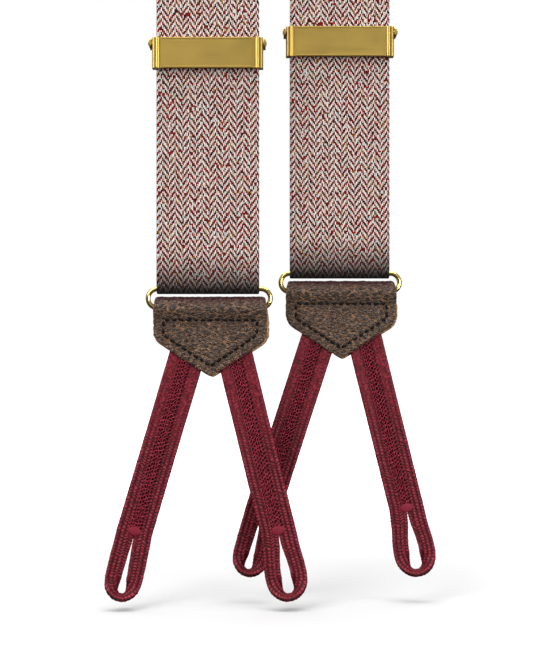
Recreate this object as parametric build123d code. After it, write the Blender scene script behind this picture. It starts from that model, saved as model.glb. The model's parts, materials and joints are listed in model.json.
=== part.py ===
"""Gentleman's button-on braces, draped over a round rail: two fronts with brass adjusters, a Y back."""

import os
from dataclasses import dataclass
from math import atan2, cos, degrees, radians

from build123d import *

# Driving dimensions, in millimetres. X is to the right, Y to the back and Z up.
# The origin is on the axis of the rail that the straps hang over.

RAIL_RADIUS = 15.0
STRAP_WIDTH = 38.0
STRAP_THICK = 0.9
STRAP_X = 24.8  # each strap's centre, to the left or right of the middle
STRAP_INSET = 1.5  # the middle of each strap layer, in front of or behind its ring's plane
FRONT_RUN_TOP = -250.0
FRONT_SHIFT = (-20.0, -240.0)  # between these heights a front comes forward to its ring's plane
FRONT_BEND_RADIUS = 300.0

# Ring: a flattened loop of round wire.
WIRE_RADIUS = 0.9
RING_WIDTH = 47.2
BAR_SPACING = 7.05

# Leather end, measured down from its top edge.
LEATHER_THICK = 1.5
LEATHER_HALF_WIDTH = 20.95
LEATHER_TOP_HALF_WIDTH = 20.2
LEATHER_TAPER = 5.0  # the height over which the top widens to full width
LEATHER_HEIGHT = 29.7
LEATHER_SIDE = 16.1
LEATHER_CORNER_RADIUS = 6.0
LEATHER_TIP_RADIUS = 1.2
ROLL_RADIUS = 4.2
PANEL_OUTER = 2.6  # half the thickness of the end below its roll
PANEL_INNER = 1.1
PINCH_DROP = 4.1  # from the lower bar down to the row that pinches the roll
LINING_INNER = 1.05
LINING_OUTER = 2.65
LINING_LEG = 0.8
LINING_SIDE_GAP = 2.0
LINING_FIT = 0.05
INNER_PINCH_EXTRA = 0.3  # how much lower the inner faces meet than the outer ones

# Stitches are short bars of thread that lie on a face.
STITCH_PITCH = 2.85
STITCH_LENGTH = 1.9
STITCH_WIDTH = 0.6
STITCH_HEIGHT = 0.35
SEAM_INSET = 3.7  # from a leather end's sides in to its seam
SEAM_CORNER_DROP = 14.3
SEAM_TIP_RISE = 4.0
SEAM_CORNER_RADIUS = 0.8

# Braided tabs. Each has two legs sewn side by side, with a button slit at the end.
BRAID_WIDTH = 13.3
BRAID_HALF_THICK = 1.0
BRAID_OFFSET = 11.0  # from the leather's centre, level with its tip
BRAID_DROP = 83.0  # from the leather's tip down to the bottom of the loop
BRAID_HINGE = 2.5  # above the tip's level, along the tab
ROOT_GAP = 0.3
ROOT_LENGTH = 24.0
ROOT_MIDDLE_GAP = 0.1
ROOT_TOP_GAP = 0.5
ROOT_ROOM = 40.0  # a span wider and deeper than any root
LOOP_LENGTH = 26.5
LOOP_BEND = 3.5  # degrees that the loop hangs nearer to vertical than its tab
LOOP_HALF_WIDTH = 7.65
LOOP_BELLY = 10.0  # height of the rounded bottom
SLIT_RADIUS = 1.4
SLIT_TIP_HALF_WIDTH = 0.15
SLIT_TAPER_TOP = -13.5
SLIT_TOP = -2.5
BAND_THICK = 2.2
BAND_RADIUS = 3.45  # just inside the rounded bottom
BAND_HALF_DEPTH = 3.0
COVER_STITCH_WIDTH = 5.0
COVER_STITCH_HEIGHT = 0.3
TACK_RADII = (3.0, 1.65)
TACK_HEIGHT = 0.6

# Adjuster. Depths are measured from the plane of the ring, heights from the adjuster's centre.
LEVER_HEIGHT = 11.3
LEVER_FRONT = -5.2
LEVER_BACK = -4.4
LEVER_HALF_WIDTH = 20.4
PANEL_HALF_WIDTH = 16.6
PANEL_PROUD = 0.2
RIM_HEIGHT = 0.55
RIM_PROUD = 0.16
RIM_INSET = 0.15
RIM_SIDE_GAP = 0.3
LEVER_EDGE_RADIUS = 0.12
BEAD_X = 18.3
BEAD_RADIUS = 1.1
FLANGE_INNER = 19.7
FLANGE_BACK = -1.2
PIVOT_DEPTH = -4.1
PIVOT_HEIGHT = 3.65
PIN_RADIUS = 0.5
PIN_CLEARANCE = 0.05
PIN_HOLE_LENGTH = 2.0
PIN_HEAD_RADIUS = 0.9
PIN_HEAD_LENGTH = 0.35
TOOTH_TIP = -2.05
TOOTH_ROOT = -2.6
TOOTH_COUNT = 17
TOOTH_OVERLAP = 0.2  # how far the tooth bar runs into the plate
TOOTH_BAR_TOP = -0.3
TOOTH_BAR_BOTTOM = -1.9
FRAME_FRONT = 0.15
FRAME_BACK = 0.95
FRAME_HALF_WIDTH = 20.5
FRAME_HALF_HEIGHT = 5.2
WINDOW_HALF_WIDTH = 19.2
WINDOW_TOP = 1.2
WINDOW_BOTTOM = -2.2
ANVIL_FRONT = -0.9
ANVIL_HALF_WIDTH = 19.0
ANVIL_BELOW_PIVOT = 2.2
ANVIL_ABOVE_PIVOT = 0.4
EAR_INNER = 20.6
EAR_OUTER = 21.4
EAR_FRONT = -5.0
EAR_HALF_HEIGHT = 1.5
EAR_CORNER_RADIUS = 0.7
WRAP_RADIUS = 0.5  # inside of the strap's turn over the tail bar
WRAP_LEG = 14.0
WRAP_BELOW_BAR = 0.2  # the turn's centre, below the tail bar's upper edge
SEAM_HEIGHTS = (-9.0, -13.0)  # rows below the turn's centre
SEAM_STITCHES = 13

FOLD_RADIUS = 1.05  # inside of the strap's turn under the ring's upper bar
FOLD_LEG = 15.0

# Back. Every layer is placed about one middle depth.
BACK_DEPTH = 16.0
BACK_STRAIGHT = -12.0
STRAP_END = -128.0
STRAP_END_X = 10.7
BACK_LAYER_DEPTHS = {"left": 15.45, "right": 16.55}
BACK_LAYER_SHIFT = (-15.0, -60.0)
BACK_BEND_RADIUS = 200.0
YOKE_TOP = -97.0
YOKE_TOP_HALF_WIDTH = 35.5
YOKE_DIP = 6.0
YOKE_SHOULDER = (35.5, -104.0)
YOKE_WAIST = (31.5, -130.0)
YOKE_HIP = (20.5, -147.0)
YOKE_TIP = -166.0
YOKE_CORNER_RADIUS = 2.5
YOKE_SEAM_INSET = 3.2
ELASTIC_WIDTH = 34.0
ELASTIC_THICK = 1.6
ELASTIC_TOP = -129.0
BACK_END_TOP = -267.0
ELASTIC_IN_END = 8.0
BACK_BRAID_LEAN = 15.0


@dataclass
class Side:
    """Where one front hangs. A positive lean swings a braid's lower end towards -X."""

    name: str
    strap_x: float
    end_x: float
    plane: float
    leather_top: float
    adjuster_rise: float
    leans: dict

    @property
    def upper_bar(self):
        return self.lower_bar + BAR_SPACING

    @property
    def lower_bar(self):
        return self.leather_top - ROLL_RADIUS

    @property
    def adjuster(self):
        return self.leather_top + self.adjuster_rise

    @property
    def wrap_centre(self):
        return self.adjuster + WINDOW_BOTTOM - WRAP_BELOW_BAR


SIDES = (
    Side("left", -STRAP_X, -STRAP_X + 0.9, -21.0, -590.0, 89.5, {"outer": 16.6, "inner": -13.8}),
    Side("right", STRAP_X, STRAP_X + 0.5, -7.0, -583.6, 90.6, {"outer": -13.9, "inner": 18.0}),
)
BACK_LEANS = {"left": BACK_BRAID_LEAN, "right": -BACK_BRAID_LEAN}


def prism_x(face, low, high):
    """A face drawn in (Y, Z), extruded from x = low to x = high."""
    plane = Plane(origin=(low, 0, 0), x_dir=(0, 1, 0), z_dir=(1, 0, 0))
    return extrude(plane * face, high - low, dir=(1, 0, 0))


def slab(face, front, back):
    """A face drawn in (X, Z), extruded from y = front to y = back."""
    plane = Plane(origin=(0, front, 0), x_dir=(1, 0, 0), z_dir=(0, -1, 0))
    return extrude(plane * face, back - front, dir=(0, 1, 0))


def block(x, y, z):
    """A box from three (low, high) pairs."""
    size = [pair[1] - pair[0] for pair in (x, y, z)]
    centre = [(pair[1] + pair[0]) / 2 for pair in (x, y, z)]
    return Pos(*centre) * Box(*size)


def rectangle(low, high):
    """A rectangle between two corners."""
    middle = ((low[0] + high[0]) / 2, (low[1] + high[1]) / 2)
    return Pos(*middle) * Rectangle(high[0] - low[0], high[1] - low[1])


def polygon(points):
    """A polygon through the points, whichever way round they are given."""
    pairs = zip(points, [*points[1:], points[0]])
    area = sum(a[0] * b[1] - b[0] * a[1] for a, b in pairs)
    return Polygon(*(points if area > 0 else points[::-1]), align=None)


def mirrored(points):
    """A right-hand outline, from its top to its tip, with its mirror image on the left."""
    return [*points, *[(-x, z) for x, z in reversed(points) if x]]


def offset_line(points, radii, gap):
    """A filleted polyline moved sideways, to the left of its direction of travel."""
    corners = [Vector(*point) for point in points]
    ways = [(after - before).normalized() for before, after in zip(corners, corners[1:])]
    lefts = [Vector(-way.Y, way.X) for way in ways]
    moved = [corners[0] + lefts[0] * gap]
    bends = []
    for n, radius in enumerate(radii):
        spread = gap / (1 + lefts[n].dot(lefts[n + 1]))
        moved.append(corners[n + 1] + (lefts[n] + lefts[n + 1]) * spread)
        turn = 1 if ways[n].cross(ways[n + 1]).Z > 0 else -1
        bends.append(radius - turn * gap)
    moved.append(corners[-1] + lefts[-1] * gap)
    return FilletPolyline(*moved, radius=bends) if radii else Line(*moved)


def ribbon_face(points, radii):
    """The section of a strap whose middle follows a filleted polyline."""
    left = offset_line(points, radii, STRAP_THICK / 2)
    right = offset_line(points, radii, -STRAP_THICK / 2)
    ends = [Line(left @ 0, right @ 0), Line(left @ 1, right @ 1)]
    return make_face([*left.edges(), *right.edges(), *ends])


def turn_face(centre, inner, outer, leg, down):
    """A half ring about a centre in (Y, Z), with straight legs, up or down."""
    way = -1 if down else 1
    y, z = centre
    ring = Pos(y, z) * (Circle(outer) - Circle(inner))
    ring -= rectangle((y - outer, min(z, z + way * outer)), (y + outer, max(z, z + way * outer)))
    low, high = sorted((z, z + way * leg))
    for near, far in ((-outer, -inner), (inner, outer)):
        ring += rectangle((y + near, low), (y + far, high))
    return ring


def stitches(path, depths):
    """Bars of thread along a path drawn in (X, Z), one set at each depth."""
    count = round(path.length / STITCH_PITCH)
    bars = []
    for n in range(count):
        spot = (n + 0.5) / count
        at = path.position_at(spot)
        along = path.tangent_at(spot)
        turn = -degrees(atan2(along.Y, along.X))
        for depth in depths:
            place = Pos(at.X, depth, at.Y) * Rot(0, turn, 0)
            bars.append(place * Box(STITCH_LENGTH, STITCH_HEIGHT, STITCH_WIDTH))
    return bars


# Straps


def strap_upper(side):
    """The strap from the front run's top, over the rail, and down the back into the yoke."""
    x, half = side.strap_x, STRAP_WIDTH / 2
    middle = RAIL_RADIUS + STRAP_THICK / 2
    front_depth = side.plane - STRAP_INSET
    shift_top, shift_bottom = FRONT_SHIFT
    front_path = [(-middle, 0), (-middle, shift_top)]
    front_path += [(front_depth, shift_bottom), (front_depth, FRONT_RUN_TOP)]
    front = prism_x(ribbon_face(front_path, [FRONT_BEND_RADIUS] * 2), x - half, x + half)

    arch = Circle(RAIL_RADIUS + STRAP_THICK) - Circle(RAIL_RADIUS)
    arch -= rectangle((-2 * middle, -2 * middle), (2 * middle, 0))
    over = prism_x(arch, x - half, x + half)

    depth = BACK_LAYER_DEPTHS[side.name]
    if depth == middle:
        back_path, radii = [(middle, 0), (middle, STRAP_END)], []
    else:
        shift_top, shift_bottom = BACK_LAYER_SHIFT
        back_path = [(middle, 0), (middle, shift_top), (depth, shift_bottom), (depth, STRAP_END)]
        radii = [BACK_BEND_RADIUS] * 2
    back = prism_x(ribbon_face(back_path, radii), x - 2 * half, x + 2 * half)
    end_x = STRAP_END_X if x > 0 else -STRAP_END_X
    outline = polygon([
        (x - half, 0),
        (x - half, BACK_STRAIGHT),
        (end_x - half, STRAP_END),
        (end_x + half, STRAP_END),
        (x + half, BACK_STRAIGHT),
        (x + half, 0),
    ])
    back &= slab(outline, RAIL_RADIUS - 1, BACK_DEPTH + 2)
    return front + over + back


def strap_layer(side, depth, bottom, top):
    """A straight stretch of strap whose middle is at a depth from the ring's plane."""
    half = STRAP_WIDTH / 2
    middle = side.plane + depth
    faces = (middle - STRAP_THICK / 2, middle + STRAP_THICK / 2)
    return block((side.strap_x - half, side.strap_x + half), faces, (bottom, top))


def strap_turn(side, centre, inner, leg, down):
    half = STRAP_WIDTH / 2
    face = turn_face(centre, inner, inner + STRAP_THICK, leg, down)
    return prism_x(face, side.strap_x - half, side.strap_x + half)


def strap_fold(side):
    """The turn under the ring's upper bar."""
    return strap_turn(side, (side.plane, side.upper_bar), FOLD_RADIUS, FOLD_LEG, down=False)


def strap_tail_wrap(side):
    """The strap's end, turned forward over the adjuster's tail bar."""
    depth = side.plane + (FRAME_FRONT + FRAME_BACK) / 2
    return strap_turn(side, (depth, side.wrap_centre), WRAP_RADIUS, WRAP_LEG, down=True)


def tail_stitching(side):
    """Two rows that sew the turned end to the strap: knots behind, posts between the layers."""
    flap_back = side.plane + (FRAME_FRONT + FRAME_BACK) / 2 - WRAP_RADIUS
    tail_front = flap_back + 2 * WRAP_RADIUS
    tail_back = tail_front + STRAP_THICK
    pieces = []
    for row in SEAM_HEIGHTS:
        z = side.wrap_centre + row
        for n in range(SEAM_STITCHES):
            x = side.strap_x + (n - (SEAM_STITCHES - 1) / 2) * STITCH_PITCH
            post = Pos(x, (flap_back + tail_front) / 2, z) * Rot(90, 0, 0)
            pieces.append(post * Cylinder(STITCH_HEIGHT, tail_front - flap_back))
            knot = Pos(x, tail_back + STITCH_HEIGHT / 2, z)
            pieces.append(knot * Box(STITCH_LENGTH, STITCH_HEIGHT, STITCH_WIDTH))
    return pieces


# Adjuster


def adjuster_frame(side):
    """Back plate with a tail bar, an anvil bar behind the teeth, and two ears for the pins."""
    sheet = rectangle((-FRAME_HALF_WIDTH, -FRAME_HALF_HEIGHT), (FRAME_HALF_WIDTH, FRAME_HALF_HEIGHT))
    sheet -= rectangle((-WINDOW_HALF_WIDTH, WINDOW_BOTTOM), (WINDOW_HALF_WIDTH, WINDOW_TOP))
    frame = slab(sheet, FRAME_FRONT, FRAME_BACK)
    heights = (PIVOT_HEIGHT - ANVIL_BELOW_PIVOT, PIVOT_HEIGHT + ANVIL_ABOVE_PIVOT)
    frame += block((-ANVIL_HALF_WIDTH, ANVIL_HALF_WIDTH), (ANVIL_FRONT, FRAME_FRONT), heights)
    ear_heights = (PIVOT_HEIGHT - EAR_HALF_HEIGHT, PIVOT_HEIGHT + EAR_HALF_HEIGHT)
    for way in (-1, 1):
        ear = block(sorted((way * EAR_INNER, way * EAR_OUTER)), (EAR_FRONT, FRAME_BACK), ear_heights)
        ear = fillet(ear.edges().filter_by(Axis.X).group_by(Axis.Y)[0], EAR_CORNER_RADIUS)
        foot = sorted((way * WINDOW_HALF_WIDTH, way * EAR_OUTER))
        frame += ear + block(foot, (FRAME_FRONT, FRAME_BACK), ear_heights)
    hole = Pos(0, PIVOT_DEPTH, PIVOT_HEIGHT) * Rot(0, 90, 0) * Cylinder(PIN_RADIUS, 4 * FRAME_HALF_WIDTH)
    return Pos(side.strap_x, side.plane, side.adjuster) * (frame - hole)


def adjuster_pins(side):
    """The two rivets that the lever turns on."""
    pins = []
    for way in (-1, 1):
        reach = EAR_OUTER - FLANGE_INNER
        middle = way * (EAR_OUTER + FLANGE_INNER) / 2
        pin = Pos(middle, 0, 0) * Rot(0, 90, 0) * Cylinder(PIN_RADIUS, reach)
        head = Pos(way * (EAR_OUTER + PIN_HEAD_LENGTH / 2), 0, 0) * Rot(0, 90, 0)
        pin += head * Cylinder(PIN_HEAD_RADIUS, PIN_HEAD_LENGTH)
        centre = Pos(side.strap_x, side.plane + PIVOT_DEPTH, side.adjuster + PIVOT_HEIGHT)
        pins.append(centre * pin)
    return pins


def lever_section():
    """The lever seen from above: a raised panel, a rolled bead at each end and a side flange."""
    plate_front = LEVER_FRONT + PANEL_PROUD
    section = rectangle((-FLANGE_INNER, plate_front), (FLANGE_INNER, LEVER_BACK))
    section += rectangle((-PANEL_HALF_WIDTH, LEVER_FRONT), (PANEL_HALF_WIDTH, LEVER_BACK))
    corner = LEVER_HALF_WIDTH - FLANGE_INNER
    for way in (-1, 1):
        section += Pos(way * BEAD_X, plate_front + BEAD_RADIUS / 2) * Circle(BEAD_RADIUS)
        section += Pos(way * FLANGE_INNER, plate_front + corner) * Circle(corner)
        flange = sorted((way * FLANGE_INNER, way * LEVER_HALF_WIDTH))
        section += rectangle((flange[0], plate_front + corner), (flange[1], FLANGE_BACK))
    return section


def teeth_section():
    """A bar with a row of teeth that point at the strap, seen from above."""
    span = 2 * PANEL_HALF_WIDTH
    points = [(-PANEL_HALF_WIDTH, LEVER_BACK - TOOTH_OVERLAP), (-PANEL_HALF_WIDTH, TOOTH_ROOT)]
    for n in range(TOOTH_COUNT):
        tip = -PANEL_HALF_WIDTH + (n + 0.5) * span / TOOTH_COUNT
        valley = -PANEL_HALF_WIDTH + (n + 1) * span / TOOTH_COUNT
        points += [(tip, TOOTH_TIP), (valley, TOOTH_ROOT)]
    points.append((PANEL_HALF_WIDTH, LEVER_BACK - TOOTH_OVERLAP))
    return polygon(points)


def adjuster_lever(side):
    """The front plate, which turns on the pins and presses its teeth on the strap."""
    half = LEVER_HEIGHT / 2
    lever = extrude(Pos(0, 0, -half) * lever_section(), LEVER_HEIGHT, dir=(0, 0, 1))
    levels = lever.edges().group_by(Axis.Z)
    lever = fillet(levels[0] + levels[-1], LEVER_EDGE_RADIUS)
    rim_half = PANEL_HALF_WIDTH - RIM_SIDE_GAP
    for way in (-1, 1):
        heights = sorted((way * (half - RIM_INSET), way * (half - RIM_INSET - RIM_HEIGHT)))
        rim = block((-rim_half, rim_half), (LEVER_FRONT - RIM_PROUD, LEVER_BACK), heights)
        lever += fillet(rim.edges().filter_by(Axis.X).group_by(Axis.Y)[0], LEVER_EDGE_RADIUS)
    depth = TOOTH_BAR_TOP - TOOTH_BAR_BOTTOM
    teeth = Pos(0, 0, PIVOT_HEIGHT + TOOTH_BAR_BOTTOM) * teeth_section()
    lever += extrude(teeth, depth, dir=(0, 0, 1))
    hole = Pos(0, PIVOT_DEPTH, PIVOT_HEIGHT) * Rot(0, 90, 0)
    for way in (-1, 1):
        at = Pos(way * (FLANGE_INNER + LEVER_HALF_WIDTH) / 2, 0, 0)
        lever -= at * hole * Cylinder(PIN_RADIUS + PIN_CLEARANCE, PIN_HOLE_LENGTH)
    return Pos(side.strap_x, side.plane, side.adjuster) * lever


# Ring and leather end


def ring(side):
    """Round wire bent to a flattened loop that joins the strap to the leather end."""
    bend = BAR_SPACING / 2
    straight = RING_WIDTH - 2 * WIRE_RADIUS - BAR_SPACING
    bar = Rot(0, 90, 0) * Cylinder(WIRE_RADIUS, straight)
    loop = Pos(0, 0, bend) * bar + Pos(0, 0, -bend) * bar
    section = Plane.XZ * Pos(bend, 0) * Circle(WIRE_RADIUS)
    half_turn = revolve(section, Axis.Z, 180)
    for way in (-1, 1):
        turn = Rot(0, 0, -90 * way) * half_turn
        loop += Pos(way * straight / 2, 0, 0) * Rot(90, 0, 0) * turn
    middle = (side.upper_bar + side.lower_bar) / 2
    return Pos((side.strap_x + side.end_x) / 2, side.plane, middle) * loop


def end_outline():
    """The leather end's outline in (X, Z), with its top edge at zero."""
    points = [
        (LEATHER_TOP_HALF_WIDTH, 0),
        (LEATHER_HALF_WIDTH, -LEATHER_TAPER),
        (LEATHER_HALF_WIDTH, -LEATHER_SIDE),
        (0, -LEATHER_HEIGHT),
    ]
    face = polygon(mirrored(points))
    corners = face.vertices().filter_by(lambda v: abs(v.Y + LEATHER_SIDE) < 0.01)
    face = fillet(corners, LEATHER_CORNER_RADIUS)
    return fillet(face.vertices().sort_by(Axis.Y)[0], LEATHER_TIP_RADIUS)


def seam_line(top):
    """The line of stitches round a leather end: across under the roll, and inside its outline."""
    half = LEATHER_HALF_WIDTH - SEAM_INSET
    corner, tip = top - SEAM_CORNER_DROP, top - LEATHER_HEIGHT + SEAM_TIP_RISE
    row = top - ROLL_RADIUS - PINCH_DROP - STITCH_WIDTH
    corners = [(half, row), (half, corner), (0, tip), (-half, corner), (-half, row)]
    return FilletPolyline(*corners, radius=SEAM_CORNER_RADIUS, close=True)


def leather_end(side):
    """One strip of leather, rolled over the lower bar, whose two panels meet below the roll."""
    drop = LEATHER_HEIGHT

    def wall(radius, panel, pinch):
        half = [(radius, 0), (radius, -LINING_LEG), (panel, -pinch), (panel, -drop)]
        return Circle(radius) + polygon(mirrored(half))

    outside = wall(ROLL_RADIUS, PANEL_OUTER, PINCH_DROP)
    inside = wall(LINING_OUTER + LINING_FIT, PANEL_INNER, PINCH_DROP + INNER_PINCH_EXTRA)
    section = Pos(side.plane, side.lower_bar) * (outside - inside)
    reach = LEATHER_HALF_WIDTH + 1
    strip = prism_x(section, side.end_x - reach, side.end_x + reach)
    outline = Pos(side.end_x, side.leather_top) * end_outline()
    return strip & slab(outline, side.plane - 2 * ROLL_RADIUS, side.plane + 2 * ROLL_RADIUS)


def end_lining(side):
    """The strip inside the roll, which the lower bar bears on."""
    face = turn_face((side.plane, side.lower_bar), LINING_INNER, LINING_OUTER, LINING_LEG, down=True)
    reach = LEATHER_TOP_HALF_WIDTH - LINING_SIDE_GAP
    return prism_x(face, side.end_x - reach, side.end_x + reach)


def end_stitching(x, middle, top):
    """Thread on both faces of a leather end."""
    lift = PANEL_OUTER + STITCH_HEIGHT / 2
    return stitches(Pos(x, 0) * seam_line(top), (middle - lift, middle + lift))


# Braided tabs, drawn with their centre line down from the level of the leather's tip


def tab_length(lean):
    """From the tip's level down the tab to its bar tack."""
    loop_drop = LOOP_LENGTH * cos(radians(abs(lean) - LOOP_BEND))
    return (BRAID_DROP - loop_drop) / cos(radians(lean))


def tab_place(x, depth, tip, lean):
    """Where a tab's own frame goes: beside the leather's centre, on the side that it leans to."""
    way = -1 if lean > 0 else 1
    return Location((x + way * BRAID_OFFSET, depth, tip), (0, lean, 0))


def loop_place(lean):
    """The loop's frame in the tab's (X, Z): at the bar tack, and bent back towards vertical."""
    bend = LOOP_BEND if lean > 0 else -LOOP_BEND
    return Location((0, -tab_length(lean), 0), (0, 0, bend))


def loop_outline():
    """Two legs that widen from the tack to a rounded bottom."""
    belly = LOOP_BELLY - LOOP_LENGTH
    legs = polygon(mirrored([(BRAID_WIDTH / 2, 0), (LOOP_HALF_WIDTH, belly)]))
    return legs + Pos(0, belly) * Ellipse(LOOP_HALF_WIDTH, LOOP_BELLY)


def slit_outline():
    """A button slit: a round bottom, a taper, and a line that is all but closed."""
    bottom = BAND_THICK + SLIT_RADIUS - LOOP_LENGTH
    tip = SLIT_TIP_HALF_WIDTH
    taper = [(SLIT_RADIUS, bottom), (tip, SLIT_TAPER_TOP), (tip, SLIT_TOP)]
    return Pos(0, bottom) * Circle(SLIT_RADIUS) + polygon(mirrored(taper))


def braid(lean):
    """The swinging tab, in its own frame, with a rounded upper end on its hinge line.

    Its two legs part round the slit and meet in a band that stands on its edge.
    """
    half = BRAID_WIDTH / 2
    bottom = BAND_THICK + SLIT_RADIUS - LOOP_LENGTH
    flat = rectangle((-half, -tab_length(lean)), (half, BRAID_HINGE)) + loop_place(lean) * loop_outline()
    tab = slab(flat, -BRAID_HALF_THICK, BRAID_HALF_THICK)
    tab += Pos(0, 0, BRAID_HINGE) * Rot(0, 90, 0) * Cylinder(BRAID_HALF_THICK, BRAID_WIDTH)
    band = Pos(0, bottom) * (Circle(BAND_RADIUS) - rectangle((-BAND_RADIUS, 0), (BAND_RADIUS, BAND_RADIUS)))
    tab += slab(loop_place(lean) * band, -BAND_HALF_DEPTH, BAND_HALF_DEPTH)
    return tab - slab(loop_place(lean) * slit_outline(), -2 * BAND_HALF_DEPTH, 2 * BAND_HALF_DEPTH)


def cover_stitch(lean):
    """The flat band of thread that joins the two legs, on both faces."""
    half = COVER_STITCH_WIDTH / 2
    heights = (TACK_RADII[1] - tab_length(lean), BRAID_HINGE - BRAID_HALF_THICK)
    bands = []
    for way in (-1, 1):
        faces = sorted((way * BRAID_HALF_THICK, way * (BRAID_HALF_THICK + COVER_STITCH_HEIGHT)))
        bands.append(block((-half, half), faces, heights))
    return bands


def bar_tack(lean):
    """A dense oval of thread on both faces, which stops the slit from running up."""
    tacks = []
    for way in (-1, 1):
        faces = sorted((way * BRAID_HALF_THICK, way * (BRAID_HALF_THICK + TACK_HEIGHT)))
        oval = Pos(0, -tab_length(lean)) * Ellipse(*TACK_RADII)
        tacks.append(slab(oval, *faces))
    return tacks


def braid_root(x, depth, tip, lean, top):
    """The tab's fixed end between the leather panels, cut off at the middle and below the roll."""
    half = BRAID_WIDTH / 2
    bottom = BRAID_HINGE + BRAID_HALF_THICK + ROOT_GAP
    faces = (-BRAID_HALF_THICK, BRAID_HALF_THICK)
    root = tab_place(x, 0, tip, lean) * block((-half, half), faces, (bottom, bottom + ROOT_LENGTH))
    way = -1 if lean > 0 else 1
    span = sorted((x + way * ROOT_MIDDLE_GAP, x + way * ROOT_ROOM))
    room = block(span, (-ROOT_ROOM, ROOT_ROOM), (tip - ROOT_ROOM, top))
    return Pos(0, depth, 0) * (root & room)


def tab_nodes(name, x, depth, tip, lean):
    """A swinging tab's three nodes, in their places."""
    place = tab_place(x, depth, tip, lean)
    return {
        f"{name}_braid": [place * braid(lean)],
        f"{name}_cover_stitch": [place * piece for piece in cover_stitch(lean)],
        f"{name}_bar_tack": [place * piece for piece in bar_tack(lean)],
    }


# Back


def yoke_outline():
    """The patch that joins the two straps to the elastic, in (X, Z)."""
    top = (YOKE_TOP_HALF_WIDTH, YOKE_TOP)
    rim = [(0, YOKE_TOP - YOKE_DIP), *mirrored([top, YOKE_SHOULDER, YOKE_WAIST, YOKE_HIP, (0, YOKE_TIP)])]
    return fillet(polygon(rim).vertices(), YOKE_CORNER_RADIUS)


def yoke_nodes():
    layer = BACK_DEPTH + PANEL_INNER
    lining = BACK_DEPTH - PANEL_INNER
    outline = yoke_outline()
    seam = offset(outline, -YOKE_SEAM_INSET).faces()[0].outer_wire()
    return {
        "yoke_outer": [slab(outline, layer, layer + LEATHER_THICK)],
        "yoke_inner": [slab(outline, lining - LEATHER_THICK, lining)],
        "yoke_stitching": stitches(seam, (layer + LEATHER_THICK + STITCH_HEIGHT / 2,)),
    }


def back_end_nodes():
    """The elastic, and the leather end that it shares with the two back tabs."""
    half = ELASTIC_WIDTH / 2
    depths = (BACK_DEPTH - ELASTIC_THICK / 2, BACK_DEPTH + ELASTIC_THICK / 2)
    bottom = BACK_END_TOP - ELASTIC_IN_END
    outline = Pos(0, BACK_END_TOP) * end_outline()
    outer = BACK_DEPTH + PANEL_INNER
    inner = BACK_DEPTH - PANEL_INNER
    tip = BACK_END_TOP - LEATHER_HEIGHT
    roots = [braid_root(0, BACK_DEPTH, tip, lean, bottom - ROOT_TOP_GAP) for lean in BACK_LEANS.values()]
    return {
        "back_elastic": [block((-half, half), depths, (bottom, ELASTIC_TOP))],
        "back_end_outer": [slab(outline, outer, outer + LEATHER_THICK)],
        "back_end_inner": [slab(outline, inner - LEATHER_THICK, inner)],
        "back_end_stitching": end_stitching(0, BACK_DEPTH, BACK_END_TOP),
        "back_braid_roots": roots,
    }


# Assembly


def front_nodes(side):
    name, tip = side.name, side.leather_top - LEATHER_HEIGHT
    fold_top = side.upper_bar + FOLD_LEG
    wrap_bottom = side.wrap_centre - WRAP_LEG
    root_top = side.lower_bar - PINCH_DROP - ROOT_TOP_GAP
    roots = [braid_root(side.end_x, side.plane, tip, lean, root_top) for lean in side.leans.values()]
    nodes = {
        f"{name}_strap_upper": [strap_upper(side)],
        f"{name}_strap_front_run": [strap_layer(side, -STRAP_INSET, fold_top, FRONT_RUN_TOP)],
        f"{name}_strap_fold": [strap_fold(side)],
        f"{name}_strap_tail_run": [strap_layer(side, STRAP_INSET, fold_top, wrap_bottom)],
        f"{name}_strap_tail_wrap": [strap_tail_wrap(side)],
        f"{name}_tail_stitching": tail_stitching(side),
        f"{name}_adjuster_frame": [adjuster_frame(side)],
        f"{name}_adjuster_pins": adjuster_pins(side),
        f"{name}_adjuster_lever": [adjuster_lever(side)],
        f"{name}_ring": [ring(side)],
        f"{name}_leather_end": [leather_end(side)],
        f"{name}_end_lining": [end_lining(side)],
        f"{name}_leather_stitching": end_stitching(side.end_x, side.plane, side.leather_top),
        f"{name}_braid_roots": roots,
    }
    for place, lean in side.leans.items():
        nodes.update(tab_nodes(f"{name}_{place}", side.end_x, side.plane, tip, lean))
    return nodes


def all_nodes():
    nodes = {}
    for side in SIDES:
        nodes.update(front_nodes(side))
    nodes.update(yoke_nodes())
    nodes.update(back_end_nodes())
    tip = BACK_END_TOP - LEATHER_HEIGHT
    for name, lean in BACK_LEANS.items():
        nodes.update(tab_nodes(f"back_{name}", 0, BACK_DEPTH, tip, lean))
    return nodes


def main():
    os.makedirs("parts", exist_ok=True)
    for name, pieces in all_nodes().items():
        solids = [solid for piece in pieces for solid in piece.solids()]
        shape = solids[0] if len(solids) == 1 else Compound(solids)
        export_step(shape, f"parts/{name}.step")


main()
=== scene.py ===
"""Button-on braces hung over a rail: woven straps, brass adjusters and rings, leather ends, braided tabs.

Lengths in this script are millimetres, in the frame of the CAD model, until a mesh is made in metres.
"""

import json
import math
import random

import bpy
import numpy as np
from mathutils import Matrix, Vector, noise


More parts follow.
